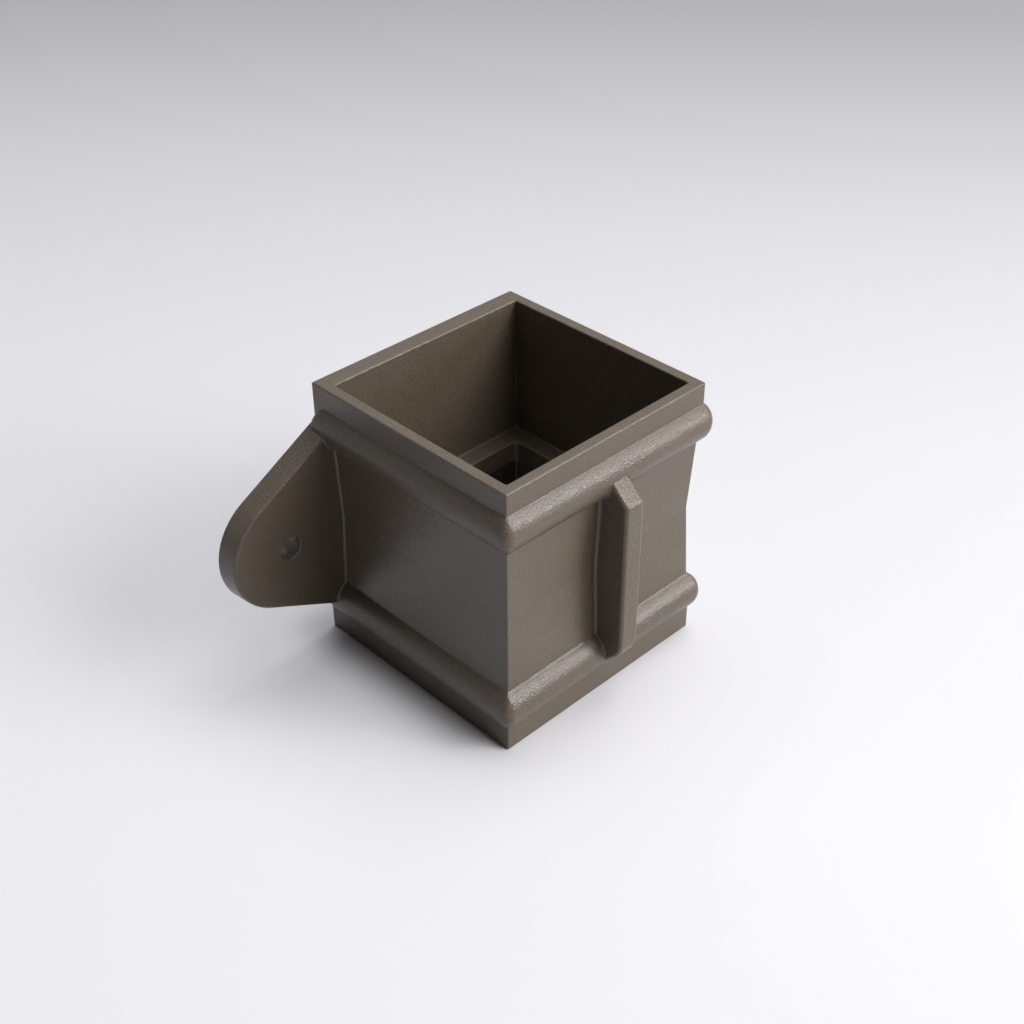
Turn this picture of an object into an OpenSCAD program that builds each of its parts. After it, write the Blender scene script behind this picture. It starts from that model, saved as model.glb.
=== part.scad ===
// Eared socket that joins two lengths of square downpipe and holds them to a wall, in cast aluminium.
// The wall is the plane y = 0 and the socket stands in front of it, towards -y.
// The origin is on the wall, midway between the two fixing holes.

/* [Body] */
// Outer width of the collars, along the wall
body_w = 90; // [84:0.5:110]
// Outer depth of the collars, from the wall outwards
body_d = 90; // [84:0.5:110]
// Overall height of the casting
body_h = 102; // [96:0.5:130]
// Height of the plain collar at the top
top_collar_h = 7.9; // [5:0.1:12]
// Height of the plain collar at the bottom
bottom_collar_h = 9.7; // [5:0.1:12]

/* [Walls] */
// Thickness of the two side walls at the rims
side_wall = 4.1; // [3:0.1:6]
// Thickness of the front wall at the rims
front_wall = 4; // [3:0.1:6]
// Thickness of the wall that lies against the building
back_wall = 6.8; // [5:0.1:9]

/* [Sockets] */
// Depth of the upper socket, which takes the pipe above
upper_depth = 52.5; // [40:0.5:56]
// Thickness of the stop that the two pipe ends rest against
stop_t = 8.3; // [5:0.1:12]
// How far the stop reaches in from the socket walls
stop_w = 7.3; // [4:0.1:9]
// Radius in the corners of the opening through the stop
stop_corner_r = 2; // [0.5:0.1:4]
// Radius of the root of the stop, all round both sockets
stop_root_r = 0.8; // [0.5:0.1:3]

/* [Beads] */
// Height of each bead
bead_h = 13.8; // [10:0.1:16]
// How far the beads stand out from the collars
bead_out = 3.4; // [2:0.1:5]
// Radius of the beads' ends at the wall, seen from the side
bead_end_r = 7.2; // [7:0.1:9]
// Radius in plan of the front corners under the beads
corner_r = 0.5; // [0.3:0.1:2]
// Height of the slope between a bead and its panel
bead_root = 1.3; // [0.5:0.1:3]
// How far the panel edges lie in from the collar faces
panel_in = 1; // [0.5:0.1:2]
// How far the waist of the panels lies in from the collar faces
waist_in = 2.2; // [1.2:0.1:3]
// Height of the waist above the bottom rim
waist_z = 52.6; // [48:0.1:57]

/* [Ears] */
// Distance between the two fixing holes
hole_spacing = 131; // [125:0.5:160]
// Diameter of the fixing holes
hole_d = 8.4; // [5:0.1:12]
// Height of the fixing holes above the bottom rim
hole_z = 50.1; // [45:0.1:56]
// Radius of the round end of an ear, at the wall
ear_r = 23.1; // [16:0.1:26]
// Thickness of the ears
ear_t = 8.3; // [6:0.1:12]
// Radius along the front edge of the ears
ear_edge_r = 1.2; // [0.5:0.1:2]
// Draft of the ears' edges, in degrees
ear_draft = 4; // [1:0.5:6]
// How far below the beads' crowns the straight edges of the ears end
ear_drop = 0.6; // [0:0.1:2]

/* [Fin] */
// Thickness of the fin on the front
fin_t = 8.3; // [5:0.1:12]
// How far the fin stands out from the collars
fin_out = 10.2; // [6:0.1:16]
// Length of the fin's front, between its two slopes
fin_flat = 59.4; // [40:0.1:64]
// Height of the middle of the fin above the bottom rim
fin_z = 50.7; // [48:0.1:54]
// How far the fin stands to the right of the middle
fin_shift = 1.3; // [-3:0.1:3]
// Slope of the two ends of the fin, in degrees
fin_slope = 44; // [40:1:60]
// Radius of the fin's two outer corners, seen from the side
fin_corner_r = 2; // [0.5:0.1:4]
// Radius along the two front edges of the fin
fin_edge_r = 0.9; // [0.3:0.1:2]

/* [Hidden] */
$fn = 96;

// Colour of the powder coat
coat = [0.29, 0.26, 0.23];
// How far a cut runs past the face it opens through
past = 1;
// Where a straight piece runs on into a round one, it stands this far proud, so that their faces cross
proud = 0.01;

// Levels above the bottom rim
bottom_bead_z = bottom_collar_h + bead_h / 2;
top_bead_z = body_h - top_collar_h - bead_h / 2;
stop_top = body_h - upper_depth;
stop_bottom = stop_top - stop_t;

// The bead's face is an arc through the collar face at both its edges
bead_r = (pow(bead_h / 2, 2) + pow(bead_out, 2)) / (2 * bead_out);

// Clear size of the sockets and the middle of the pipe
clear_w = body_w - 2 * side_wall;
clear_d = body_d - front_wall - back_wall;
pipe_y = -back_wall - clear_d / 2;

// The straight edges of an ear aim at the crowns of the two beads
hole_x = hole_spacing / 2;
crown_x = body_w / 2 + bead_out;

// Angle at the hole from which the edge through a point touches the round end
function touch_angle(p, side) =
    atan2(p[1], p[0]) + side * acos(ear_r / norm(p));

upper_touch = touch_angle([crown_x - hole_x, top_bead_z - ear_drop - hole_z], -1);
lower_touch = touch_angle([crown_x - hole_x, bottom_bead_z - ear_drop - hole_z], 1);

// The body's outline on one side, upwards: how far it lies out from the collar, and its height
side_line = [
    [0, 0], [0, bottom_bead_z + bead_h / 2], [-panel_in, bottom_bead_z + bead_h / 2 + bead_root],
    [-waist_in, waist_z],
    [-panel_in, top_bead_z - bead_h / 2 - bead_root], [0, top_bead_z - bead_h / 2], [0, body_h]
];
last = len(side_line) - 1;

// Stands an outline up: its x runs along +x and its y along +z, and it goes back from y = 0 by depth
module stand_x(depth) {
    translate([0, depth, 0]) rotate([90, 0, 0]) linear_extrude(depth) children();
}

// The same for an outline seen from the side: its x runs along -y, and it is centred across the body
module stand_y(width) {
    translate([-width / 2, 0, 0]) rotate([90, 0, -90]) mirror([0, 0, 1])
        linear_extrude(width) children();
}

// Collars and waisted panels, before the hollow: mitred at the front corners, and past the wall
module body_core() {
    intersection() {
        translate([0, -body_d, 0]) stand_x(body_d + past) polygon(concat(
            [for (p = side_line) [body_w / 2 + p[0], p[1]]],
            [for (i = [0:last]) [-body_w / 2 - side_line[last - i][0], side_line[last - i][1]]]
        ));
        stand_y(body_w) polygon(concat(
            [[-past, 0]], [for (p = side_line) [body_d + p[0], p[1]]], [[-past, body_h]]
        ));
    }
}

// Section of a bead, out from the collar face along x, with its inner part inside the wall
module bead_section() {
    intersection() {
        translate([bead_out - bead_r, 0]) rotate(180) circle(bead_r);
        translate([-corner_r, -bead_h]) square([2 * bead_out, 2 * bead_h]);
    }
}

// One bead round the front and both sides: round at the corners, and stopped at the wall
module bead(level) {
    turn_x = body_w / 2 - corner_r;
    turn_y = body_d - corner_r;
    end_y = bead_end_r + proud;
    translate([-turn_x, -body_d, level]) rotate([90, 0, 90])
        linear_extrude(2 * turn_x) mirror([1, 0]) bead_section();
    for (side = [0, 1]) mirror([side, 0, 0]) {
        translate([turn_x, -turn_y, level]) rotate([0, 0, -90]) rotate_extrude(angle = 90)
            intersection() {
                translate([corner_r, 0]) bead_section();
                translate([0, -bead_h]) square([2 * bead_h, 2 * bead_h]);
            }
        intersection() {
            translate([body_w / 2, -turn_y, level]) stand_x(turn_y) bead_section();
            translate([0, -end_y, level]) union() {
                rotate([0, 90, 0]) cylinder(r = bead_end_r, h = body_w);
                translate([0, -body_d, -bead_h]) cube([body_w, body_d, 2 * bead_h]);
            }
        }
    }
}

// Section across an ear's edge: out from the hole along x, forward from the wall along y. It starts
// behind the wall, its front is cut off later, and gap shifts it so that no two sections fall together.
module ear_section(inner, gap) {
    lean = tan(ear_draft);
    centre_y = ear_t - ear_edge_r;
    centre_x = ear_r - centre_y * lean - ear_edge_r / cos(ear_draft);
    translate([gap, gap + 2 * proud]) {
        polygon([
            [-inner, -past], [ear_r + past * lean, -past],
            [ear_r - centre_y * lean, centre_y], [centre_x, centre_y],
            [centre_x, ear_t + past], [-inner, ear_t + past]
        ]);
        translate([centre_x + proud, centre_y]) rotate(180) circle(ear_edge_r);
    }
}

// Plate behind one straight edge of an ear, from where the edge touches the round end to the body.
// The edge is square to the given angle round the hole, and side is 1 above the hole and -1 below.
module ear_web(angle, side) {
    long = hole_x + ear_r;
    gap = (3 + side) * proud;
    intersection() {
        rotate([180, -angle, 0]) translate([0, 0, side > 0 ? -long : 0])
            linear_extrude(long) ear_section(long, gap);
        translate([clear_w / 2 + (side_wall - waist_in) / 2 - hole_x, -2 * ear_t, side > 0 ? -ear_r / 2 : -body_h])
            cube([hole_x, 3 * ear_t, body_h + ear_r / 2]);
    }
}

// Right-hand ear, with its hole at the origin and its back past the wall
module ear() {
    difference() {
        intersection() {
            union() {
                rotate([90, 0, 0]) rotate_extrude() intersection() {
                    ear_section(0, 0);
                    translate([0, -past]) square([2 * ear_r, 2 * ear_t]);
                }
                ear_web(upper_touch, 1);
                ear_web(lower_touch, -1);
            }
            translate([-hole_x, -ear_t, -body_h]) cube([2 * hole_x, 2 * ear_t, 2 * body_h]);
        }
        rotate([90, 0, 0]) translate([0, 0, -2 * past])
            cylinder(d = hole_d, h = ear_t + 4 * past);
    }
}

// The fin seen from the side, out from the middle of the front wall, with its middle at zero
module fin_outline() {
    root = (waist_in + front_wall) / 2;
    rise = (fin_out + root) * tan(fin_slope);
    half = fin_flat / 2;
    cut = fin_corner_r * tan((90 - fin_slope) / 2);
    for (end = [0, 1]) mirror([0, end]) {
        polygon([
            [-root, 0], [fin_out, 0], [fin_out, half - cut],
            [fin_out - cut * cos(fin_slope), half + cut * sin(fin_slope)],
            [-root, half + rise]
        ]);
        translate([fin_out - fin_corner_r, half - cut]) circle(fin_corner_r);
    }
}

// Upright fin on the front, a little to the right of the middle
module fin() {
    deep = fin_out + waist_in + front_wall / 2;
    intersection() {
        translate([fin_shift, 0, fin_z]) stand_y(fin_t) translate([body_d, 0]) fin_outline();
        translate([fin_shift, -body_d - fin_out, 0]) linear_extrude(body_h) {
            translate([-fin_t / 2, fin_edge_r]) square([fin_t, deep]);
            translate([-fin_t / 2 + fin_edge_r, 0]) square([fin_t - 2 * fin_edge_r, deep]);
            for (x = [-1, 1]) translate([x * (fin_t / 2 - fin_edge_r), fin_edge_r]) circle(fin_edge_r);
        }
    }
}

// Section of a socket of the given width: it opens upwards from its floor, whose corners are rounded
module socket_section(w) {
    r = stop_root_r;
    translate([-w / 2 + r, 0]) square([w - 2 * r, body_h]);
    translate([-w / 2, r]) square([w, body_h - r]);
    for (x = [-1, 1]) translate([x * (w / 2 - r), r]) circle(r);
}

// Hollow for one pipe, with its floor at zero: straight walls and a rounded root all round
module socket_hollow() {
    intersection() {
        translate([0, pipe_y - clear_d / 2, 0]) stand_x(clear_d) socket_section(clear_w);
        stand_y(clear_w) translate([-pipe_y, 0]) socket_section(clear_d);
    }
}

// Opening through the stop
module stop_opening() {
    w = clear_w - 2 * stop_w;
    d = clear_d - 2 * stop_w;
    r = stop_corner_r;
    translate([0, pipe_y, stop_bottom - past]) {
        translate([-w / 2 + r, -d / 2, 0]) cube([w - 2 * r, d, stop_t + 2 * past]);
        translate([-w / 2, -d / 2 + r, 0]) cube([w, d - 2 * r, stop_t + 2 * past]);
        for (x = [-1, 1], y = [-1, 1])
            translate([x * (w / 2 - r), y * (d / 2 - r), 0]) cylinder(r = r, h = stop_t + 2 * past);
    }
}

// The whole socket, as it comes from the mould
module socket_casting() {
    color(coat) translate([0, 0, -hole_z]) difference() {
        union() {
            body_core();
            bead(bottom_bead_z);
            bead(top_bead_z);
            fin();
            for (side = [0, 1]) mirror([side, 0, 0]) translate([hole_x, 0, hole_z]) ear();
        }
        translate([0, 0, stop_top]) socket_hollow();
        translate([0, 0, stop_bottom]) mirror([0, 0, 1]) socket_hollow();
        stop_opening();
        translate([-hole_spacing, 0, -past]) cube([2 * hole_spacing, 3 * past, body_h + 2 * past]);
    }
}

socket_casting();
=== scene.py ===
# %% [markdown]
# # A cast downpipe socket with two fixing ears
#
# The object is a short square sleeve, cast in aluminium and powder coated, that joins two lengths of
# rainwater pipe and holds them to a wall. The CAD model already carries its sizes and its main shapes.
# What the CAD leaves out is what the mould and the coat give to a casting: every edge is a small round,
# every inner corner is filled by a fillet, and all of it is covered by a fine sandy satin film. So this
# script builds one new skin where the CAD solid is, made of a few surfaces that run into one another, and
# gives it its finish. The CAD node itself is not changed. In the picture the skin takes its place.

# %% Load the CAD model as a fixed frame
import math

import bpy
import numpy as np
from mathutils import Matrix


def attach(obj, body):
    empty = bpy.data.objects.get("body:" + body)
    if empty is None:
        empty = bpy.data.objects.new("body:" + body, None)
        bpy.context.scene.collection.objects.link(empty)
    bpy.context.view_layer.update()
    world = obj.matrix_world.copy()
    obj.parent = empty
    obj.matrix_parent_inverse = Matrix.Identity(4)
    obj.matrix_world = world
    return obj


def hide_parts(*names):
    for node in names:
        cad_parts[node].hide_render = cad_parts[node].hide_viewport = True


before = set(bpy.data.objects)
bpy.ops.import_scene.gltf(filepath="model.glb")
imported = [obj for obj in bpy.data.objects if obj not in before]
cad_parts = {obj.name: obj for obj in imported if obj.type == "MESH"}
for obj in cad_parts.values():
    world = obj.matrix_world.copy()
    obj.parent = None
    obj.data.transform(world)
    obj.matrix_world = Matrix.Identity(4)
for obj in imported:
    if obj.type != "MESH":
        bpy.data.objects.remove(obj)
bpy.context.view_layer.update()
MM = 0.001
print("nodes in the frame:", len(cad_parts))

# %% [markdown]
# ## The sizes of the casting
#
# The skin has to lie exactly where the CAD solid lies, so it uses the same sizes, in millimetres. Heights
# are counted from the bottom rim and turned into frame heights in one place, when a mesh is made: the
# frame's origin lies on the wall, midway between the two fixing holes.

# %% Sizes of the body, the beads, the ears and the fin
BODY_W, BODY_D, BODY_H = 90.0, 90.0, 102.0
COLLAR_TOP, COLLAR_BOTTOM = 7.9, 9.7
SIDE_WALL, FRONT_WALL, BACK_WALL = 4.1, 4.0, 6.8
UPPER_DEPTH, STOP_T, STOP_W = 52.5, 8.3, 7.3
STOP_ROOT_R, STOP_LIP_R, STOP_CORNER_R = 0.8, 0.45, 2.0
BEAD_H, BEAD_OUT, BEAD_END_R, BEAD_END_GAP = 13.8, 3.4, 7.0, 0.6
PANEL_IN, WAIST_IN, WAIST_Z = 1.0, 2.2, 52.6
HOLE_SPACING, HOLE_D, HOLE_Z = 131.0, 8.4, 50.1
EAR_R, EAR_T, EAR_DRAFT, EAR_DROP = 23.1, 8.3, math.radians(4.0), 0.6
FIN_T, FIN_OUT, FIN_FLAT, FIN_Z = 8.3, 10.2, 59.4, 50.7
FIN_SHIFT, FIN_SLOPE = 1.3, math.radians(44.0)

BEAD_LOW = COLLAR_BOTTOM + BEAD_H / 2
BEAD_HIGH = BODY_H - COLLAR_TOP - BEAD_H / 2
BEAD_R = ((BEAD_H / 2) ** 2 + BEAD_OUT ** 2) / (2 * BEAD_OUT)
STOP_TOP = BODY_H - UPPER_DEPTH
STOP_BOTTOM = STOP_TOP - STOP_T
HOLE_X = HOLE_SPACING / 2
print(f"bead crowns at {BEAD_LOW:.1f} and {BEAD_HIGH:.1f} mm, bead radius {BEAD_R:.2f} mm")

# %% [markdown]
# ## Turning a grid of points into closed surfaces
#
# Every surface here is a grid: rows run one way over it and columns the other, and four neighbouring
# points make a face. Two kinds are enough. A ring grid closes on itself both ways, like the skin of a
# tyre, and suits the sleeve and the ears, which both have a hole through them. A capped grid closes only
# across, like a bent tube, and gets a flat lid on either end. In both, the volume that the faces enclose
# is worked out, and if it comes out below zero the faces are turned round so that they look outwards.

# %% Helpers that join the points of a grid
def quads_of(rows, cols, closed_rows):
    """Corner numbers of the faces of a grid whose columns close on themselves: face (i, j) has the
    corners (i, j), (i, j + 1), (i + 1, j + 1), (i + 1, j), and the last row meets the first if closed."""
    i, j = np.meshgrid(np.arange(rows if closed_rows else rows - 1), np.arange(cols), indexing="ij")
    i2, j2 = (i + 1) % rows, (j + 1) % cols
    quad = np.stack([i * cols + j, i * cols + j2, i2 * cols + j2, i2 * cols + j], axis=-1)
    return quad.reshape(-1, 4)


def enclosed(points, quads):
    """Sum over the faces of a sixth of the box product of their corners, each taken as two triangles."""
    a, b, c, d = (points[quads[:, k]] for k in range(4))
    return (np.einsum("ij,ij", a, np.cross(b, c)) + np.einsum("ij,ij", a, np.cross(c, d))) / 6


def shell(grid, closed_rows):
    """Points, outward faces and lids of a grid of points. There is a lid on each end unless the rows
    close, and a lid lists the corner numbers of its rim."""
    rows, cols = grid.shape[:2]
    points = grid.reshape(-1, 3)
    quads = quads_of(rows, cols, closed_rows)
    lids = [] if closed_rows else [np.arange(cols)[::-1], np.arange(cols) + (rows - 1) * cols]
    if enclosed(points - points.mean(axis=0), quads) < 0:
        quads, lids = quads[:, ::-1], [lid[::-1] for lid in lids]
    return points, quads, lids


print("a ring grid of 3 rows and 4 columns has", len(quads_of(3, 4, True)), "faces")

# %% [markdown]
# ## Rounding a drawn line
#
# The stop inside the sleeve and the fin outside it are drawn the way a pattern maker draws them: as a
# line with sharp corners and a radius written at each corner. One helper turns such a drawing into
# points. At each corner it finds where the round leaves the two straight runs, and puts an arc there.

# %% A helper that rounds the corners of a closed outline
def rounded(corners, radii, steps=6):
    """Points along a closed outline whose corner k is an arc of radius radii[k]. The arc starts and ends
    r * tan(turn / 2) from the corner, and its centre lies r / cos(turn / 2) along the bisector."""
    corners = np.asarray(corners, float)
    out = []
    for k, (corner, r) in enumerate(zip(corners, radii)):
        if r == 0:
            out.append(corner[None])
            continue
        u, v = corners[k - 1] - corner, corners[(k + 1) % len(corners)] - corner
        u, v = u / np.linalg.norm(u), v / np.linalg.norm(v)
        turn = math.pi - math.acos(np.clip(u @ v, -1, 1))
        centre = corner + (u + v) / np.linalg.norm(u + v) * r / math.cos(turn / 2)
        spoke = corner + u * r * math.tan(turn / 2) - centre
        way = np.sign(u[1] * v[0] - u[0] * v[1])
        a = way * np.linspace(0, turn, steps + 1)
        out.append(centre + np.stack([spoke[0] * np.cos(a) - spoke[1] * np.sin(a),
                                      spoke[0] * np.sin(a) + spoke[1] * np.cos(a)], axis=-1))
    return np.vstack(out)


square = rounded([[0, 0], [4, 0], [4, 4], [0, 4]], [1] * 4)
print("a square with round corners has", len(square), "points and reaches", square.max(0).round(2))

# %% [markdown]
# ## The outer half of the sleeve's section
#
# A cut down through the wall of the sleeve shows, from the top: the small round of the rim, the plain
# collar, a bead, a panel that falls to a waist and comes back, the second bead and the second collar.
# The beads are what takes most care. Each is an arc of a circle that would meet the collar at a sharp
# inner corner, and the mould can't make such a corner, so a fillet touches the arc on one side and the
# collar or the panel on the other. The place where two circles touch lies on the line between their
# centres, and that gives every point of the fillet without bending a mesh by hand.
#
# The first number of a point says how far it lies out from the collar's face, the second its height. The
# line begins and ends on the flat of a rim, where the inner half of the section will take over. Four
# points close together round the waist, so that it shows no crease.

# %% The bead with its fillets, and the line from rim to rim
RIM_R, RIM_FLAT, RIM_BELOW = 0.55, 1.6, 1.2
COLLAR_FILLET_R, PANEL_FILLET_R, PANEL_LEAN, BEAD_STEPS = 0.45, 1.5, 0.03, 33
WAIST_ROUND = [[0.03, 0.9], [-0.01, 0.25], [-0.01, -0.25], [0.03, -0.9]]


def fillet_at_bead(level, r, lean, n=7):
    """From a straight face at the given level to the bead: a round of radius r whose centre lies r out
    from the face and BEAD_R + r from the bead's centre. It starts turned by the angle by which the face
    leans. Gives (out, distance from the bead's crown)."""
    middle = BEAD_OUT - BEAD_R
    out = level + r
    up = math.sqrt((BEAD_R + r) ** 2 - (out - middle) ** 2)
    a = np.linspace(math.pi + lean, math.pi + math.atan2(up, out - middle), n)
    return np.stack([out + r * np.cos(a), up + r * np.sin(a)], axis=-1)


def bead_line():
    """One bead from its collar side (positive distances) to its panel side: fillet, arc, fillet."""
    collar = fillet_at_bead(0, COLLAR_FILLET_R, 0)
    panel = fillet_at_bead(-PANEL_IN, PANEL_FILLET_R, PANEL_LEAN)
    start, end = math.asin(collar[-1][1] / BEAD_R), -math.asin(panel[-1][1] / BEAD_R)
    a = np.linspace(start, end, BEAD_STEPS + 1)[1:-1]
    arc = np.stack([BEAD_OUT - BEAD_R + BEAD_R * np.cos(a), BEAD_R * np.sin(a)], axis=-1)
    return np.vstack([collar, arc, panel[::-1] * [1, -1]])


bead = bead_line()
quarter = np.linspace(0, math.pi / 2, 5)
rim = RIM_R * np.stack([np.sin(quarter) - 1, np.cos(quarter) - 1], axis=-1)
OUTER = np.vstack([
    [[-RIM_FLAT, BODY_H]],
    rim + [0, BODY_H],
    [[0, BODY_H - RIM_BELOW]],
    bead + [0, BEAD_HIGH],
    WAIST_ROUND + np.array([-WAIST_IN, WAIST_Z]),
    (bead * [1, -1] + [0, BEAD_LOW])[::-1],
    [[0, RIM_BELOW]],
    (rim * [1, -1])[::-1],
    [[-RIM_FLAT, 0]],
])
print(len(OUTER), "points down the outside, of which each bead and its fillets take", len(bead))

# %% [markdown]
# ## The inner half of the section
#
# Inside, each end is a socket for a pipe. The two pipe ends rest against a stop, a frame that stands in
# from the walls. Its roots are filled and its edges are broken, so the drawing is seven straight runs with
# a radius at each corner. The first and the last run are the flats of the two rims. Here the first number
# of a point counts inwards from the socket's wall.

# %% The line of the two sockets and the stop
INNER_FLAT = 1.2
INNER = rounded(
    [[-INNER_FLAT, 0], [0, 0], [0, STOP_BOTTOM], [STOP_W, STOP_BOTTOM],
     [STOP_W, STOP_TOP], [0, STOP_TOP], [0, BODY_H], [-INNER_FLAT, BODY_H]],
    [0, RIM_R, STOP_ROOT_R, STOP_LIP_R, STOP_LIP_R, STOP_ROOT_R, RIM_R, 0])
print(len(INNER), "points up the inside, reaching", INNER[:, 0].max().round(2), "mm in")

# %% [markdown]
# ## The sleeve's plan
#
# Seen from above, each point of the section is carried once round the pipe. The path is a rectangle
# with rounded corners. Its sides are different for the outside, where it grows with the bead, and for the
# inside, where the wall against the building is thicker than the other three. All these paths have the
# same number of points, placed in the same order, so that row after row joins up into one skin.
#
# The two beads stop at the wall in a half-round end. So the points on the sides are not spread evenly:
# some of them sit exactly on that end, wherever the end lies at the height of the row. The points in
# front of it lie closer together towards it, and that is what the power does to their even spacing.

# %% One rounded rectangle with a fixed number of points
CORNER_STEPS, FRONT_STEPS, BACK_STEPS = 10, 24, 12
SIDE_STEPS, SIDE_POWER, END_STEPS, NEAR_STEPS = 22, 1.4, 8, 4
END_ROUND = 2.2


def plan(half_x, front, back, corner_r, back_r, end_d):
    """Rows of rounded rectangles, one row for each entry of the arrays: x runs from -half_x to half_x and
    the depth from back to front. end_d is the depth at which the beads end in that row. Gives x, depth."""
    sizes = (half_x, front, back, corner_r, back_r, end_d)
    hx, fr, bk, cr, br, end = (np.asarray(v, float).reshape(-1, 1) for v in sizes)
    a = np.linspace(0, math.pi / 2, CORNER_STEPS + 1)[None]
    far = np.linspace(1, 0, SIDE_STEPS + 1)[None, 1:-1] ** SIDE_POWER
    turn = 1 - np.cos(np.linspace(math.pi / 2, 0, END_STEPS + 1))[None]
    near = np.linspace(1, 0, NEAR_STEPS + 1)[None, 1:-1]
    start = end + END_ROUND
    side = np.hstack([start + (fr - cr - start) * far, end + END_ROUND * turn,
                      bk + br + (end - bk - br) * near])
    right_x = np.hstack([hx - cr + cr * np.sin(a), np.repeat(hx, side.shape[1], axis=1),
                         hx - br + br * np.cos(a)])
    right_d = np.hstack([fr - cr + cr * np.cos(a), side, bk + br - br * np.sin(a)])
    s = np.linspace(-1, 1, FRONT_STEPS + 1)[None, 1:-1]
    b = np.linspace(1, -1, BACK_STEPS + 1)[None, 1:-1]
    x = np.hstack([s * (hx - cr), right_x, b * (hx - br), -right_x[:, ::-1]])
    d = np.hstack([fr + 0 * s, right_d, bk + 0 * b, right_d[:, ::-1]])
    return x, d


sample_x, sample_depth = plan([45], [90], [0], [1], [0.4], [5])
print("a plan has", sample_x.shape[1], "points, the first at x", sample_x[0, 0].round(2),
      "and depth", sample_depth[0, 0])

# %% [markdown]
# ## The skin of the sleeve
#
# Now the section and the plan meet. For the outside, the plan grows by the section's first number, and
# the front corners are rounder on the beads, because a bead turns the corner like a wheel. Near the wall
# the bead has to sink back into the collar. This is done by making every row twice, once with its bead
# and once without, and going from one to the other along a quarter of an ellipse.

# %% The skin outside and inside, row by row
COLLAR_CORNER_R, BACK_EDGE_R, SOCKET_CORNER_R, INNER_END = 0.55, 0.4, 0.8, 6


def bead_end_depth(z):
    """Depth from the wall at which the beads end at height z: a half circle of radius R close to the wall,
    so gap + R - sqrt(R^2 - dz^2), where dz is the distance from the nearer crown line."""
    dz = np.minimum(abs(z - BEAD_LOW), abs(z - BEAD_HIGH)).clip(0, BEAD_END_R)
    return BEAD_END_GAP + BEAD_END_R - np.sqrt(BEAD_END_R ** 2 - dz ** 2)


def outside(out, z):
    """The outer rows: the plan grown by the section, sinking to the collar's face at the beads' ends. Near
    the rims the back draws in as well, to round that edge, and elsewhere it stays on the wall."""
    end = bead_end_depth(z)
    in_rim = np.minimum(z, BODY_H - z) < RIM_R
    back, back_r = np.where(in_rim, -out, 0), np.full_like(out, BACK_EDGE_R)
    (full_x, depth), (bare_x, _) = (
        plan(BODY_W / 2 + t, BODY_D + t, back, COLLAR_CORNER_R + t.clip(0), back_r, end)
        for t in (out, np.minimum(out, 0)))
    u = ((depth - end[:, None]) / END_ROUND).clip(0, 1)
    return bare_x + (full_x - bare_x) * np.sqrt(1 - (1 - u) ** 2), depth


def inside(within, z):
    """The inner rows: the plan shrunk by the section, inside three thin walls and one thick one. No bead
    ends here, so the points that would sit on its end simply stay near the back wall, and the height z is
    only taken so that both sides are called alike."""
    corner = SOCKET_CORNER_R + (STOP_CORNER_R - SOCKET_CORNER_R) * (within / STOP_W).clip(0, 1)
    return plan(BODY_W / 2 - SIDE_WALL - within, BODY_D - FRONT_WALL - within, BACK_WALL + within,
                corner, corner, BACK_WALL + INNER_END + within)


print("on a crown the beads end", bead_end_depth(BEAD_HIGH).round(2), "mm from the wall")

# %% [markdown]
# ## From two lines to one skin
#
# All that is left is to lay the rows next to each other: down the outside, over the bottom rim, up the
# inside, and over the top rim back to the first row. One ring grid is then the whole sleeve. It has no
# cap and no seam, and there can be no gap in it, because neighbouring faces share their points.

# %% Carry the section round the pipe
def sleeve_grid():
    """All rows of the sleeve, down the outside and up the inside, as points x, y, z in millimetres."""
    rows = []
    for line, side in ((OUTER, outside), (INNER, inside)):
        x, depth = side(line[:, 0], line[:, 1])
        z = np.repeat(line[:, 1:], x.shape[1], axis=1)
        rows.append(np.stack([x, -depth, z], axis=-1))
    return np.vstack(rows)


sleeve = sleeve_grid()
print("the sleeve is a ring grid of", sleeve.shape[0], "rows and", sleeve.shape[1], "columns, reaching",
      sleeve.reshape(-1, 3).min(0).round(2), sleeve.reshape(-1, 3).max(0).round(2))

# %% [markdown]
# ## The ears
#
# An ear is a flat plate round a fixing hole, on the wall side of the sleeve. Its end is round, its two
# straight edges aim at the crowns of the beads, and its edges lean by a few degrees so that it leaves the
# mould. It is made like a washer that has been pulled towards the sleeve: the section, from the hole over
# the front face, the rounded edge, the leaning side and back over the flat back, is carried round the
# hole, and stretched to the outline in each direction. The part of the outline that would be a cut edge
# lies hidden inside the sleeve's wall. Where two skins lie in one plane a renderer can't tell which is in
# front and paints black patches, so the ear's back stays a fiftieth of a millimetre in from the wall.

# %% The outline of an ear and the way out of it at each point
EAR_ROOT, ROUND_STEPS, EDGE_STEPS, ROOT_STEPS = 41.9, 60, 16, 13


def touch_angle(x, z, side):
    """Angle at the hole from which a straight edge through (x, z) touches the round end of the ear."""
    return math.atan2(z, x) + side * math.acos(EAR_R / math.hypot(x, z))


TOUCH_UP = touch_angle(BODY_W / 2 + BEAD_OUT - HOLE_X, BEAD_HIGH - EAR_DROP - HOLE_Z, -1)
TOUCH_LOW = touch_angle(BODY_W / 2 + BEAD_OUT - HOLE_X, BEAD_LOW - EAR_DROP - HOLE_Z, 1)


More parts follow.
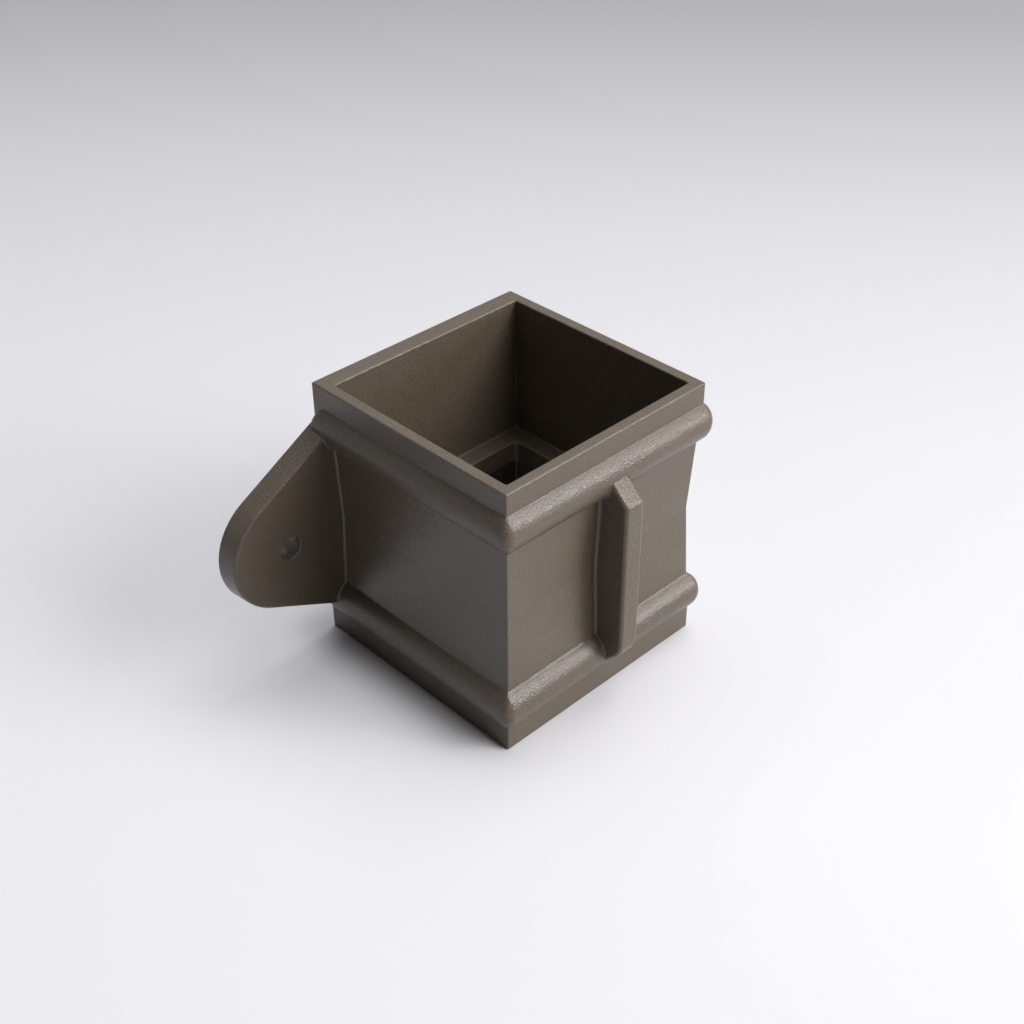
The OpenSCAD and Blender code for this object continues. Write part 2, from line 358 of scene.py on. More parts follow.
def ear_outline():
    """Points and outward directions round the ear at the wall, seen from its hole: the arc, the upper
    straight edge from its touch point to the root, the hidden root, and the lower edge back to the arc.
    The straight edges stand square to their directions."""
    a = np.linspace(TOUCH_LOW, TOUCH_UP, ROUND_STEPS + 1)
    arc_n = np.stack([np.cos(a), np.sin(a)], axis=-1)
    edges = []
    for angle, side in ((TOUCH_UP, 1), (TOUCH_LOW, -1)):
        n = np.array([math.cos(angle), math.sin(angle)])
        along = np.array([-n[1], n[0]]) * side
        length = (EAR_ROOT - HOLE_X - EAR_R * n[0]) / along[0]
        s = np.linspace(0, length, EDGE_STEPS + 1)[1:, None]
        edges.append((EAR_R * n + s * along, np.repeat(n[None], EDGE_STEPS, axis=0)))
    (up, up_n), (low, low_n) = edges
    share = np.linspace(0, 1, ROOT_STEPS + 1)[1:-1, None]
    points = [EAR_R * arc_n, up, up[-1] + (low[-1] - up[-1]) * share, low[::-1]]
    ways = [arc_n, up_n, up_n[-1] + (low_n[-1] - up_n[-1]) * share, low_n[::-1]]
    return np.vstack(points), np.vstack(ways)


print("ear outline:", len(ear_outline()[0]), "points, touch angles",
      round(math.degrees(TOUCH_UP), 1), "and", round(math.degrees(TOUCH_LOW), 1), "degrees")

# %% [markdown]
# ## From an ear's outline to its plate
#
# A real ear has a front edge that is rounded by the mould and a side that leans, so that it comes out of
# the sand. Cut across, that edge is an arc, a straight slope and a small round at the wall. The arc has to
# touch both the front face and the slope, and as the slope isn't upright, the arc's centre lies a little
# further in than its radius.

# %% The section of an ear's edge
EAR_EDGE_R, BACK_R = 1.2, 0.3
SMALL_ROUND = np.linspace(0, math.pi / 2, 4)


def ear_edge_section(steps=9):
    """Out past the outline and forward from the wall: the front edge is an arc that touches the front
    face and the leaning side, and the side runs down to a small round at the wall."""
    forward = EAR_T - EAR_EDGE_R
    centre = -forward * math.tan(EAR_DRAFT) - EAR_EDGE_R / math.cos(EAR_DRAFT)
    a = np.linspace(math.pi / 2, EAR_DRAFT, steps)
    front = np.stack([centre + EAR_EDGE_R * np.cos(a), forward + EAR_EDGE_R * np.sin(a)], axis=-1)
    back = BACK_R * np.stack([np.cos(SMALL_ROUND) - 1, 1 - np.sin(SMALL_ROUND)], axis=-1)
    return np.vstack([front, back])


print("the front face of an ear ends", -ear_edge_section()[0, 0].round(2), "mm inside its outline")

# %% [markdown]
# ## The plate with its hole
#
# The hole is drilled, and its lip is lightly broken. A boolean could cut it and a bevel could round the
# edge, but the bevel would run into trouble where the edge meets the bead. Here every ring round the hole
# is one row: the first rows are circles in the hole, the later ones copies of the outline, each moved out
# by what the section says. The right ear is the left one with its x turned round.

# %% The two ears
HOLE_LIP_R, EAR_BACK = 0.4, 0.02


def ear_grid(side):
    """Rows: up the hole, over its lip, out over the front face, round the edge and back under the ear.
    Columns: round the outline. The hole's rows are circles, the outer rows are the outline moved along
    its outward directions."""
    outline, ways = ear_outline()
    spoke = outline / np.linalg.norm(outline, axis=1, keepdims=True)
    r = HOLE_D / 2
    hole = [(r + BACK_R, 0), (r + BACK_R / 3, BACK_R / 3), (r, BACK_R)]
    hole += [(r + HOLE_LIP_R * (1 - math.cos(q)), EAR_T - HOLE_LIP_R * (1 - math.sin(q)))
             for q in np.linspace(0, math.pi / 2, 5)]
    flat = [(spoke * radius, forward) for radius, forward in hole]
    flat += [(outline + ways * off, forward) for off, forward in ear_edge_section()]
    rows = [[side * (HOLE_X + p[:, 0]), np.full(len(p), -max(forward, EAR_BACK)), HOLE_Z + p[:, 1]]
            for p, forward in flat]
    return np.array(rows).transpose(0, 2, 1)


ears = [ear_grid(side) for side in (1, -1)]
print("each ear is a ring grid of", ears[0].shape[:2], "reaching x", ears[0][..., 0].max().round(2))

# %% [markdown]
# ## The fin
#
# On the front stands an upright fin, a little to the right of the middle. From the side it is a flat
# trapezium whose slopes run out on the crowns of the beads: a large round at the foot, a small one at the
# head. Its hidden corners inside the wall are rounded too. With a sharp one, the slope would share its
# last points with the large hidden back face, whose direction would bend the shading all along the slope.
#
# To round the fin's long edges as well, its outline will be needed a little smaller. Scaling would move a
# side more, the further it lies from the middle. So a helper moves every side by the same distance.

# %% The fin's outline, and a helper that grows an outline
FIN_HEAD_R, FIN_FOOT_R, FIN_ROOT, FIN_ROOT_R = 2.0, 9.0, 2.7, 0.3


def grown(line, by):
    """A closed outline moved outwards by a distance: each point goes along the bisector of its two edges,
    as far as keeps both edges at that distance, which is by / cos(half the turn)."""
    ahead = np.roll(line, -1, axis=0) - line
    ahead /= np.linalg.norm(ahead, axis=1, keepdims=True)
    n_ahead = np.stack([ahead[:, 1], -ahead[:, 0]], axis=-1)
    n_back = np.roll(n_ahead, 1, axis=0)
    both = n_ahead + n_back
    return line + by * both * (2 / (both ** 2).sum(axis=1, keepdims=True))


def fin_outline():
    """The fin from the side, as (out from the collar's face, height): two slopes and a long front."""
    half, rise = FIN_FLAT / 2, (FIN_OUT + FIN_ROOT) * math.tan(FIN_SLOPE)
    corners = [[-FIN_ROOT, FIN_Z - half - rise], [FIN_OUT, FIN_Z - half],
               [FIN_OUT, FIN_Z + half], [-FIN_ROOT, FIN_Z + half + rise]]
    return rounded(corners, [FIN_ROOT_R, FIN_FOOT_R, FIN_HEAD_R, FIN_ROOT_R], steps=10)


print("the fin's outline stands out", fin_outline()[:, 0].max().round(1), "mm and, moved in by 1 mm,",
      grown(fin_outline(), -1)[:, 0].max().round(1))

# %% [markdown]
# ## The fin in layers
#
# The outline is laid down in layers from the fin's left face to its right face. The first few layers grow
# and the last few shrink along a quarter of a circle, which rounds the two long front edges. Each side
# face is a flat lid.

# %% The fin in layers
FIN_EDGE_R, EDGE_LAYERS = 1.4, 8


def fin_grid():
    """Layers across the fin: at the edges, x and the outline's size follow a quarter circle."""
    line = fin_outline()
    q = np.linspace(0, math.pi / 2, EDGE_LAYERS)
    x = -FIN_T / 2 + FIN_EDGE_R * (1 - np.cos(q))
    inset = FIN_EDGE_R * (1 - np.sin(q))
    layers = list(zip(x, inset)) + list(zip(-x[::-1], inset[::-1]))
    rows = [np.column_stack([np.full(len(line), FIN_SHIFT + xi), grown(line, -di)]) for xi, di in layers]
    grid = np.array(rows)
    return np.stack([grid[..., 0], -(BODY_D + grid[..., 1]), grid[..., 2]], axis=-1)


fin = fin_grid()
print("the fin is a capped grid of", fin.shape[:2], "reaching y", fin[..., 1].min().round(2))

# %% [markdown]
# ## The fillets where the pieces of the casting meet
#
# Where an ear or the fin leaves the sleeve, the casting has a small hollow fillet. It is the surface that
# a ball leaves when it rolls along the corner and touches both faces. If the two faces look along the
# directions m and n, the ball's centre lies r (m + n) / (1 + m . n) from the corner, and the ball touches
# the faces where its centre, taken back along m and n by r, comes down on them. Each fillet is a thin tube:
# that arc, closed behind by a line inside the metal.

# %% A ball rolled along a corner
NUDGE, FILLET_STEPS, FILLET_DEEP = 0.05, 8, 0.35


def out_at(z):
    """How far the sleeve's outside lies out from the collar's face at height z, read off the section."""
    return np.interp(z, OUTER[::-1, 1], OUTER[::-1, 0])


def rolled(corner, m, n, r):
    """Rows along the corner, columns over the fillet and back through the metal: from the face m to the
    face n the surface is centre - r * unit(mix of m and n), turned evenly from one to the other."""
    m, n = (v / np.linalg.norm(v, axis=1, keepdims=True) for v in (m, n))
    r = np.broadcast_to(np.asarray(r, float), len(corner))[:, None]
    cosine = (m * n).sum(axis=1, keepdims=True)
    centre = corner + r * (m + n) / (1 + cosine)
    full = np.arccos(cosine.clip(-1, 1))[:, None]
    f = np.linspace(0, 1, FILLET_STEPS + 1)[None, :, None]
    mix = (np.sin((1 - f) * full) * m[:, None] + np.sin(f * full) * n[:, None]) / np.sin(full)
    arc = centre[:, None] - r[:, None] * mix
    deep = corner - FILLET_DEEP * (m + n)
    return np.concatenate([arc, deep[:, None]], axis=1)


print("the section gives", out_at(BEAD_HIGH).round(2), "mm at the crown and",
      out_at(WAIST_Z).round(2), "at the waist")

# %% [markdown]
# ## The two fillets beside the fin
#
# They are seen as one thin light line down the left of the fin. The corner that the ball rolls along
# is known: the fin's side is flat, and the sleeve's front follows the section from bead to bead. Where
# the fin runs out on a bead's crown there is no corner left, so the ball's radius shrinks to nothing.

# %% Fillets beside the fin
FIN_FILLET_R, FIN_FADE, THINNEST, CROWN_GAP, FIN_FILLET_ROWS = 0.85, 2.5, 0.02, 0.1, 260


def fin_fillet(side):
    """Along one side of the fin from crown to crown. Where the fin stands out less than FIN_FADE, the
    ball's radius shrinks in the same measure."""
    z = np.linspace(BEAD_LOW + CROWN_GAP, BEAD_HIGH - CROWN_GAP, FIN_FILLET_ROWS)
    line = fin_outline()
    fin_out = np.interp(z, line[:, 1], line[:, 0])
    r = FIN_FILLET_R * ((fin_out - out_at(z)) / FIN_FADE).clip(THINNEST, 1)
    slope = (out_at(z + NUDGE) - out_at(z - NUDGE)) / (2 * NUDGE)
    corner = np.column_stack([np.full_like(z, FIN_SHIFT + side * FIN_T / 2), -(BODY_D + out_at(z)), z])
    m = np.repeat([[side, 0.0, 0.0]], len(z), axis=0)
    n = np.column_stack([np.zeros_like(z), -np.ones_like(z), -slope])
    return rolled(corner, m, n, r)


fillets = [fin_fillet(1), fin_fillet(-1)]
print("each fillet beside the fin is a capped grid of", fillets[0].shape[:2])

# %% [markdown]
# ## How far the side of the sleeve lies out
#
# The ball needs to know the sleeve's side wherever an ear touches it, also where a bead sinks into the
# collar near the wall. The skin follows a formula there, so the same formula can be asked for any height
# and depth, and no mesh has to be searched.

# %% The side of the sleeve as a formula
def reach_at(z, depth):
    """How far the side of the sleeve lies out at height z and at this depth from the wall: the section,
    sinking to the collar's face at a bead's end as the skin does."""
    t = out_at(z)
    base = np.minimum(t, 0)
    u = ((depth - bead_end_depth(z)) / END_ROUND).clip(0, 1)
    return base + (t - base) * np.sqrt(1 - (1 - u) ** 2)


print("on the upper crown the side lies", reach_at(BEAD_HIGH, EAR_T).round(2),
      "mm out at the ear's front and", reach_at(BEAD_HIGH, BEAD_END_GAP).round(2), "at the bead's end")

# %% [markdown]
# ## Where an ear's edge enters the sleeve
#
# The ear's rounded edge runs into the side of the bead, and the line where they meet is a curve in space.
# It could be found with a boolean, but all that is needed is one number for each point of the ear's
# section: how far it can slide along the straight edge before it is inside the sleeve. Halving an
# interval of 50 mm forty times gives that number to far less than a millionth of a millimetre.

# %% The corner line between the sleeve's side and an ear's edge
SLIDE_FROM, SLIDE_TO, HALVINGS = 10.0, 60.0, 40
EDGE_POINTS, WALL_POINTS, STRAIGHT_AHEAD = 7, 12, -60


def edge_corner(angle, way):
    """Where one straight edge of the ear enters the sleeve, from the wall to the front face, and the way
    that the edge looks there. Each point of the edge's section slides along the edge, and the place is
    found by halving the interval. Down at the wall the section's small round is left out, and a few points
    go on along the slope. The way is the outline's, tipped forward as the section leans, and the last
    point, on the front face, looks straight ahead."""
    arc = ear_edge_section(EDGE_POINTS)[:1 - len(SMALL_ROUND)][::-1]
    share = np.linspace(0, 1, WALL_POINTS)[:-1] * arc[0][1]
    section = np.vstack([np.column_stack([-share * math.tan(EAR_DRAFT), share]), arc])
    off, forward = section[:, 0], section[:, 1]
    n = np.array([math.cos(angle), math.sin(angle)])
    along = np.array([-n[1], n[0]]) * way

    def slid(distance):
        return (EAR_R + off)[:, None] * n + distance[:, None] * along

    near, far = np.full(len(off), SLIDE_FROM), np.full(len(off), SLIDE_TO)
    for _ in range(HALVINGS):
        middle = (near + far) / 2
        p = slid(middle)
        free = HOLE_X + p[:, 0] > BODY_W / 2 + reach_at(p[:, 1] + HOLE_Z, forward)
        near, far = np.where(free, middle, near), np.where(free, far, middle)
    p = slid(near)
    lean = np.gradient(off, forward)
    lean[-1] = STRAIGHT_AHEAD
    faces = np.column_stack([np.full_like(off, n[0]), lean, np.full_like(off, n[1])])
    return np.column_stack([HOLE_X + p[:, 0], -forward, p[:, 1] + HOLE_Z]), faces


print("the upper corner line starts at", edge_corner(TOUCH_UP, 1)[0][0].round(2))

# %% [markdown]
# ## The fillets round the ears
#
# With that line known, the ball can roll all the way round an ear's root: down its upper edge from the
# wall, over the front face, where it shows as the light upright line in the photo, and back to the wall
# along the lower edge. What would reach past the wall is pressed flat just in front of it.

# %% Fillets round the ears
EAR_FILLET_R, FILLET_BACK, FACE_STEPS = 0.7, 0.04, 159


def ear_fillet(side):
    """Along the corner between the sleeve's side and the ear: down its upper edge from the wall, over the
    front face and back to the wall. The sleeve's own direction is the slope of reach_at both ways."""
    (up, up_m), (low, low_m) = edge_corner(TOUCH_UP, 1), edge_corner(TOUCH_LOW, -1)
    z = np.linspace(up[-1, 2], low[-1, 2], FACE_STEPS + 1)[1:-1]
    face = np.column_stack([BODY_W / 2 + reach_at(z, EAR_T), np.full_like(z, -EAR_T), z])
    face_m = np.repeat([[0.0, -1.0, 0.0]], len(z), axis=0)
    corner = np.vstack([up, face, low[::-1]])
    m = np.vstack([up_m, face_m, low_m[::-1]])
    z, depth = corner[:, 2], -corner[:, 1]
    by_depth = (reach_at(z, depth + NUDGE) - reach_at(z, depth - NUDGE)) / (2 * NUDGE)
    by_height = (reach_at(z + NUDGE, depth) - reach_at(z - NUDGE, depth)) / (2 * NUDGE)
    grid = rolled(corner, m, np.column_stack([np.ones_like(z), by_depth, -by_height]), EAR_FILLET_R)
    grid[..., 1] = grid[..., 1].clip(max=-FILLET_BACK)
    return grid * [side, 1, 1]


fillets += [ear_fillet(1), ear_fillet(-1)]
print("each fillet round an ear is a capped grid of", fillets[-1].shape[:2])

# %% [markdown]
# ## One casting
#
# The socket comes out of the mould in one piece, so all these surfaces go into one mesh. They overlap
# inside the metal, where nothing shows. Smooth shading would bend the light over the flat faces, so a
# Weighted Normal modifier lets the large flat faces decide the direction at each shared edge, and the
# small rounds turn from one flat to the next.

# %% Build the socket and put it in the place of the CAD node
def make_piece(name, shells):
    """One mesh from several closed shells, in metres, with heights counted from the frame's origin. Each
    shell's corner numbers go on where the last shell's stop."""
    points, faces, first = [], [], 0
    for grid, closed_rows in shells:
        corners, quads, lids = shell(grid, closed_rows)
        points.append(corners)
        faces += (quads + first).tolist() + [(lid + first).tolist() for lid in lids]
        first += len(corners)
    points = (np.vstack(points) - [0, 0, HOLE_Z]) * MM
    mesh = bpy.data.meshes.new(name)
    mesh.from_pydata(points.tolist(), [], faces)
    mesh.polygons.foreach_set("use_smooth", np.ones(len(faces), bool))
    mesh.update()
    piece = bpy.data.objects.new(name, mesh)
    bpy.context.scene.collection.objects.link(piece)
    return piece


rings, tubes = [sleeve, *ears], [fin, *fillets]
socket = make_piece("socket", [(grid, True) for grid in rings] + [(grid, False) for grid in tubes])
weigh = socket.modifiers.new("flat_faces_lead", "WEIGHTED_NORMAL")
weigh.mode, weigh.weight, weigh.keep_sharp = "FACE_AREA", 80, True
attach(socket, "root")
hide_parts("socket_casting")
print("the socket has", len(socket.data.vertices), "points and", len(socket.data.polygons), "faces")

# %% [markdown]
# ## Materials are made of nodes
#
# Three finishes follow: the coat, the paper and the far wall. Each is a small net of nodes, in which a
# link carries one node's output into another's input, and an input without a link keeps its own number.
# Three small helpers keep that short. One makes a node, one sets the numbers in its sockets, and one
# draws the links.

# %% Helpers for materials
def add(mat, kind, **settings):
    """A new node of this kind in the material, with its plain settings, such as operation or data_type."""
    node = mat.node_tree.nodes.new("ShaderNode" + kind)
    for name, value in settings.items():
        setattr(node, name, value)
    return node


def values(node, **inputs):
    """Set a node's unlinked inputs. An underscore in a name stands for the space in the socket's name."""
    for name, value in inputs.items():
        node.inputs[name.replace("_", " ")].default_value = value


def join(mat, *links):
    """Draw links, each given as a pair: an output and the input that it goes into."""
    for output, target in links:
        mat.node_tree.links.new(output, target)


print("helpers:", ", ".join(helper.__name__ for helper in (add, values, join)))

# %% [markdown]
# ## The powder coat
#
# The finish is a warm grey-brown powder coat. It is sprayed on as dust and baked, which leaves a satin
# film with a fine sandy grain. One fine noise makes the grain, and it is used twice. As a bump of about a
# sixth of a millimetre it tips each grain its own way, so that the beads' highlights glitter a little. As
# a factor of 0.8 to 1.2 on the colour it paints shade into the hollows between the grains and light onto
# their tops, which also shows on flat faces in even light. A second, slow noise moves the colour between
# two close tones.
#
# Both noises read Object coordinates, in metres, so a noise scale of 1700 gives grains of about 0.6 mm.
# A noise seldom leaves the range from 0.3 to 0.7, and that range is what is spread over the factor.

# %% The powder coat's material
COAT_DARK, COAT_LIGHT = (0.110, 0.0855, 0.0625, 1), (0.128, 0.0995, 0.073, 1)
GRAINS_PER_M, PATCHES_PER_M, GRAIN_HEIGHT = 1700, 60, 0.00017
NOISE_LOW, NOISE_HIGH, HOLLOWS, TOPS = 0.3, 0.7, 0.80, 1.20


def powder_coat():
    """Satin grey-brown film: a fine noise as bump and as a factor on the colour, which paints shade into
    the hollows between the grains and light onto their tops, and a slow noise between the two tones."""
    mat = bpy.data.materials.new("powder_coat")
    mat.use_nodes = True
    shader, where = mat.node_tree.nodes["Principled BSDF"], add(mat, "TexCoord").outputs["Object"]
    grain, patches = add(mat, "TexNoise"), add(mat, "TexNoise")
    tones, grain_shade = add(mat, "Mix", data_type="RGBA"), add(mat, "MapRange")
    tint, bump = add(mat, "VectorMath", operation="SCALE"), add(mat, "Bump")
    values(grain, Scale=GRAINS_PER_M, Detail=1)
    values(patches, Scale=PATCHES_PER_M, Detail=2)
    values(tones, A=COAT_DARK, B=COAT_LIGHT)
    # The grain's factor on the colour paints shade into the hollows between the grains and light onto their
    # tops.
    values(grain_shade, From_Min=NOISE_LOW, From_Max=NOISE_HIGH, To_Min=HOLLOWS, To_Max=TOPS)
    values(bump, Strength=1, Distance=GRAIN_HEIGHT)
    values(shader, Roughness=0.28)
    join(mat,
         (where, grain.inputs["Vector"]),
         (where, patches.inputs["Vector"]),
         (patches.outputs["Fac"], tones.inputs["Factor"]),
         (grain.outputs["Fac"], grain_shade.inputs["Value"]),
         (tones.outputs["Result"], tint.inputs[0]),
         (grain_shade.outputs["Result"], tint.inputs["Scale"]),
         (tint.outputs["Vector"], shader.inputs["Base Color"]),
         (grain.outputs["Fac"], bump.inputs["Height"]),
         (bump.outputs["Normal"], shader.inputs["Normal"]))
    return mat


coat = powder_coat()
socket.data.materials.append(coat)
print("material:", coat.name, "with", len(coat.node_tree.nodes), "nodes")

# %% [markdown]
# ## The floor
#
# The socket stands on plain pale paper that runs on to the far wall. In the photo the paper is nearly
# white in front and greyer far behind. Lamps bright enough for that white would burn out the socket, so
# the paper's brightness is made in its material. Rays that show the paper in the picture see its full
# tone, partly as paint and partly as a plain glow, and all other rays see a greyer paint, so that the
# paper sends no more light up to the socket. The paint keeps the real shadow, and the glow fades away
# towards the socket's foot, which paints a contact shadow there, where the real shadow is deepest.

# %% The rays that show a surface, and the tone along the floor
TONE_FRONT, TONE_FAR, TONE_TINT = (0.835, 0.827, 0.868, 1), (0.48, 0.475, 0.50, 1), (1, 0.99, 1.04)
TONE_STEPS = ((0.28, 0.775), (0.50, 0.70), (0.60, 0.655), (0.78, 0.565))
TONE_TURN, TONE_BEGINS, TONE_ENDS = math.radians(-34), -0.1, 0.7


def seen_rays(mat):
    """1 for a ray that shows the surface in the picture: straight, in a reflection or through glass. A
    chain of Maximum nodes finds it. The first has nothing to compare with, so its other input is 0."""
    rays, largest = add(mat, "LightPath"), None
    for kind in ("Is Camera Ray", "Is Glossy Ray", "Is Transmission Ray"):
        step = add(mat, "Math", operation="MAXIMUM")
        step.inputs[1].default_value = 0
        join(mat, (rays.outputs[kind], step.inputs[0]))
        if largest:
            join(mat, (largest, step.inputs[1]))
        largest = step.outputs[0]
    return largest


def depth_tone(mat, where):
    """The paint's colour along the floor: pale near the camera, greyer far behind the socket. A colour
    ramp reads how far a place lies along the turned X axis, from TONE_BEGINS to TONE_ENDS in metres."""
    turn, split, reach = add(mat, "Mapping"), add(mat, "SeparateXYZ"), add(mat, "MapRange")
    tone = add(mat, "ValToRGB")
    values(turn, Rotation=(0, 0, TONE_TURN))
    values(reach, From_Min=TONE_BEGINS, From_Max=TONE_ENDS)
    ramp = tone.color_ramp.elements
    for place, level in TONE_STEPS:
        ramp.new(place).color = [level * tint for tint in TONE_TINT] + [1]
    ramp[0].color, ramp[-1].color = TONE_FRONT, TONE_FAR
    join(mat,
         (where, turn.inputs["Vector"]),
         (turn.outputs[0], split.inputs[0]),
         (split.outputs["X"], reach.inputs["Value"]),
         (reach.outputs[0], tone.inputs["Fac"]))
    return tone.outputs["Color"]


print("the tone runs from", TONE_FRONT[0], "in front to", TONE_FAR[0], "far behind")

# %% [markdown]
# ## Painting the contact shadow round the foot
#
# Right at the foot the paper gets hardly any light, and inside the lower socket none at all. A glow there
# would look like light leaking out from under the casting. So the glow's share is a function of the
# distance to the square foot: nothing at the foot and growing outwards, which paints a contact shadow round
# the foot on top of the real one. Vector Math nodes can measure that: fold the plane over so that all
# four corners become one, take off half the side, and what is left above zero is the way to the foot.

# %% The glow's share near the socket
FLOOR_Z, MIDDLE_Y = -HOLE_Z * MM, -BODY_D / 2 * MM
GLOW_MOST, GLOW_REACH = 0.33, 0.02


def glow_share_with_painted_shadow(mat, where):
    """A share of glow that grows smoothly from 0 at the socket's foot to GLOW_MOST at GLOW_REACH from it,
    which paints a contact shadow round the foot. The distance is the length of what |p - middle| has
    more than the half sides of the foot."""
    steps = (("SUBTRACT", (0, MIDDLE_Y, FLOOR_Z)), ("ABSOLUTE", None),
             ("SUBTRACT", (BODY_W / 2 * MM, BODY_D / 2 * MM, 0)), ("MAXIMUM", (0, 0, 0)), ("LENGTH", None))
    for operation, value in steps:
        step = add(mat, "VectorMath", operation=operation)
        join(mat, (where, step.inputs[0]))
        if value:
            step.inputs[1].default_value = value
        where = step.outputs["Value" if operation == "LENGTH" else "Vector"]
    # The glow's share is 0 at the foot and grows outwards: this paints a contact shadow round the foot.
    share = add(mat, "MapRange", interpolation_type="SMOOTHSTEP")
    values(share, From_Max=GLOW_REACH, To_Max=GLOW_MOST)
    join(mat, (where, share.inputs["Value"]))
    return share.outputs["Result"]


print("the glow begins at the foot, a square of", BODY_W, "mm, and is full", GLOW_REACH / MM, "mm from it")

# %% [markdown]
# ## Mixing the paper
#
# Now the pieces come together: a Principled shader for the paper, an Emission for the glow, and a Mix
# Shader between them whose factor is the share from above, times one for the rays that show the paper. The
# paper has no shine, or else the lamps would leave bright pools when one looks along it.

# %% The floor's paint
GREY_BOUNCE = (0.53, 0.52, 0.505, 1)


def pale_floor():
    """Matt paper. For the rays that show it, its tone is part paint and part glow, and the light that it
    throws back is that of a greyer floor."""
    mat = bpy.data.materials.new("pale_floor")
    mat.use_nodes = True
    shader, out = (mat.node_tree.nodes[name] for name in ("Principled BSDF", "Material Output"))
    where, seen = add(mat, "TexCoord").outputs["Object"], seen_rays(mat)
    share, paint = add(mat, "Math", operation="MULTIPLY"), add(mat, "Mix", data_type="RGBA")
    glow, mix, tone = add(mat, "Emission"), add(mat, "MixShader"), depth_tone(mat, where)
    values(paint, A=GREY_BOUNCE)
    values(shader, Roughness=0.7, Specular_IOR_Level=0)
    values(glow, Strength=1.06)
    join(mat,
         (seen, share.inputs[0]),
         (glow_share_with_painted_shadow(mat, where), share.inputs[1]),
         (seen, paint.inputs["Factor"]),
         (tone, paint.inputs["B"]),
         (paint.outputs["Result"], shader.inputs["Base Color"]),
         (tone, glow.inputs["Color"]),
         (share.outputs[0], mix.inputs["Fac"]),
         (shader.outputs["BSDF"], mix.inputs[1]),
         (glow.outputs["Emission"], mix.inputs[2]),
         (mix.outputs["Shader"], out.inputs["Surface"]))
    return mat


paper = pale_floor()
print("material:", paper.name, "with", len(paper.node_tree.nodes), "nodes")

# %% [markdown]
# ## The sheet of paper
#
# A single square is enough for the paper. It lies exactly at the height of the bottom rim, so that the
# socket neither hovers nor sinks, and it is so large that its edge is never seen from the photo's side. It
# is part of the stage and not of the object.

# %% The floor
FLOOR_HALF = 6.0


def floor_plane(paint):
    """A square of floor at the height of the bottom rim."""
    mesh = bpy.data.meshes.new("floor")
    corners = [(x * FLOOR_HALF, y * FLOOR_HALF, FLOOR_Z) for x, y in ((-1, -1), (1, -1), (1, 1), (-1, 1))]
    mesh.from_pydata(corners, [], [(0, 1, 2, 3)])
    floor = bpy.data.objects.new("floor", mesh)
    bpy.context.scene.collection.objects.link(floor)
    mesh.materials.append(paint)
    return floor


floor = floor_plane(paper)
print("floor at", round(floor.data.vertices[0].co.z / MM, 1), "mm")

# %% [markdown]
# ## A lamp that looks at the socket
#
# A studio uses soft boxes: square, bright cloths on stands round the table. An area lamp of 0.8 m at
# 1.6 m does the same. It is large beside the socket, so its shadow has soft edges and its reflection in
# the coat is broad. Two helpers place one by its direction and turn it towards the middle of the socket.
# Azimuth 0 is in front of the socket, and 90 is to its right.

# %% Helpers that place a lamp
LAMP_DISTANCE = 1.6


def around(azimuth, elevation):
    """A place at LAMP_DISTANCE from the middle of the socket, in metres."""
    a, e = math.radians(azimuth), math.radians(elevation)
    flat = LAMP_DISTANCE * math.cos(e)
    return (flat * math.sin(a), MIDDLE_Y - flat * math.cos(a), LAMP_DISTANCE * math.sin(e))


def lamp(name, place, size, power, beam):
    """A square area lamp at a place in metres, facing the middle of the socket: its Z axis points away
    from the middle, because a lamp shines along its own -Z."""
    data = bpy.data.lights.new(name, "AREA")
    data.shape, data.size, data.energy, data.spread = "SQUARE", size, power, math.radians(beam)
    obj = bpy.data.objects.new(name, data)
    bpy.context.scene.collection.objects.link(obj)
    obj.location = place
    z = np.array(place) - [0, MIDDLE_Y, 0]
    z /= np.linalg.norm(z)
    x = np.cross([0, 0, 1], z)
    x /= np.linalg.norm(x)
    obj.rotation_euler = Matrix(np.array([x, np.cross(z, x), z]).T.tolist()).to_euler()
    return obj


print("a lamp in front at 30 degrees stands at", [round(c, 2) for c in around(0, 30)])

# %% [markdown]
# ## The lamps
#
# The photo has soft studio light from the front right, so the front is the brightest side and the left
# side is dim. Each lamp was placed by asking what it does. The two keys light the front, and the higher
# one is also what the fin's upper slope and the shoulders of the beads reflect. A small low lamp makes
# the narrow bright streak along the beads. Its beam is narrow, or else the floor below it would burn out.
# The three top lamps light the rim and reach down to the stop, and the two at the back lift the left
# side, the back and the far edges of the rim.

# %% The lamps
LAMPS = (  # name, azimuth and height above the horizon in degrees, side in m, power in W, beam in degrees
    ("key", 20, 34, 0.8, 14.5, 180),
    ("high_key", 43, 39, 0.8, 7.6, 180),
    ("low_key", 37, 9.5, 0.4, 1.0, 60),
    ("top_right", 90, 70, 0.8, 10.2, 180),
    ("top_back", 180, 70, 0.8, 4.1, 180),
    ("top_front", 0, 70, 0.8, 1.5, 180),
    ("back_right", 135, 45, 0.8, 1.6, 180),
    ("back_left", -135, 20, 0.8, 0.7, 180),
)
lamps = [lamp(name, around(az, el), size, power, beam) for name, az, el, size, power, beam in LAMPS]
print(len(lamps), "lamps with", round(sum(obj.data.energy for obj in lamps), 1), "W together")

# %% [markdown]
# ## The far wall
#
# Seen from lower down, the floor ends at the horizon, and above it one looks into the world. A dark world
# would make a black band there. So the world is a plain grey for the rays that show it, and for all
# other rays it is nearly black, so that it doesn't fill the shadows.

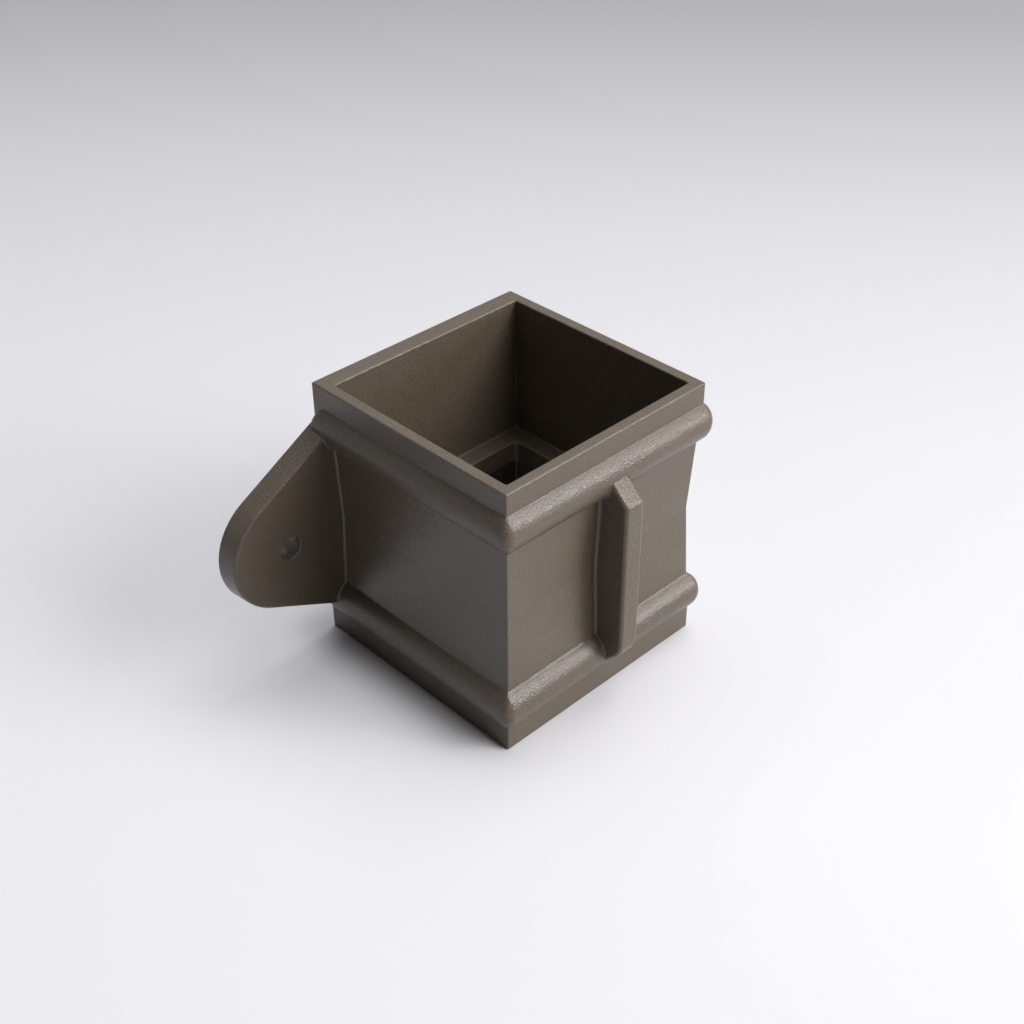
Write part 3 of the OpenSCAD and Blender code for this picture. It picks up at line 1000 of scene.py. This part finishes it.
# %% The studio's far wall
WALL_LIGHTS, WALL_LOOKS = 0.01, 0.33


def studio():
    """A world that hardly lights the socket, and that is seen as a plain grey wall behind the floor."""
    world = bpy.data.worlds.new("studio")
    world.use_nodes = True
    level, background = add(world, "MapRange"), world.node_tree.nodes["Background"]
    values(level, To_Min=WALL_LIGHTS, To_Max=WALL_LOOKS)
    values(background, Color=(1, 1, 1, 1))
    join(world,
         (seen_rays(world), level.inputs["Value"]),
         (level.outputs["Result"], background.inputs["Strength"]))
    return world


bpy.context.scene.world = studio()
print("world:", bpy.context.scene.world.name)

# %% [markdown]
# ## The camera
#
# The camera stands in front on the left and looks down by about thirty-six degrees. Its place, angle and
# lens were worked out from the edges of the two collars in the photo, whose directions in space are known:
# some run along the wall, some run out from it, and the rest are upright.

# %% The camera
AZIMUTH, LOOK_DOWN, ROLL = math.radians(-44.2837), math.radians(35.7538), math.radians(-0.3384)
CAMERA_PLACE, LENS, SENSOR = (-0.29412, -0.34791, 0.30430), 53.464, 36.0


def photo_camera():
    """The camera's axes from its azimuth and from the angle by which it looks down, turned by a small
    roll. A camera looks along its own -Z, so its Z axis points back from the picture."""
    flat = math.cos(LOOK_DOWN)
    back = np.array([math.sin(AZIMUTH) * flat, -math.cos(AZIMUTH) * flat, math.sin(LOOK_DOWN)])
    right = np.array([math.cos(AZIMUTH), math.sin(AZIMUTH), 0])
    up, c, s = np.cross(back, right), math.cos(ROLL), math.sin(ROLL)
    right, up = right * c + up * s, up * c - right * s
    data = bpy.data.cameras.new("photo_camera")
    data.lens, data.sensor_width, data.clip_start, data.clip_end = LENS, SENSOR, 0.01, 50
    cam = bpy.data.objects.new("photo_camera", data)
    bpy.context.scene.collection.objects.link(cam)
    turn = Matrix(np.array([right, up, back]).T.tolist()).to_4x4()
    cam.matrix_world = Matrix.Translation(CAMERA_PLACE) @ turn
    return cam


bpy.context.scene.camera = photo_camera()
bpy.context.scene.view_settings.view_transform = "Standard"
print("camera at", [round(c, 3) for c in bpy.context.scene.camera.location])
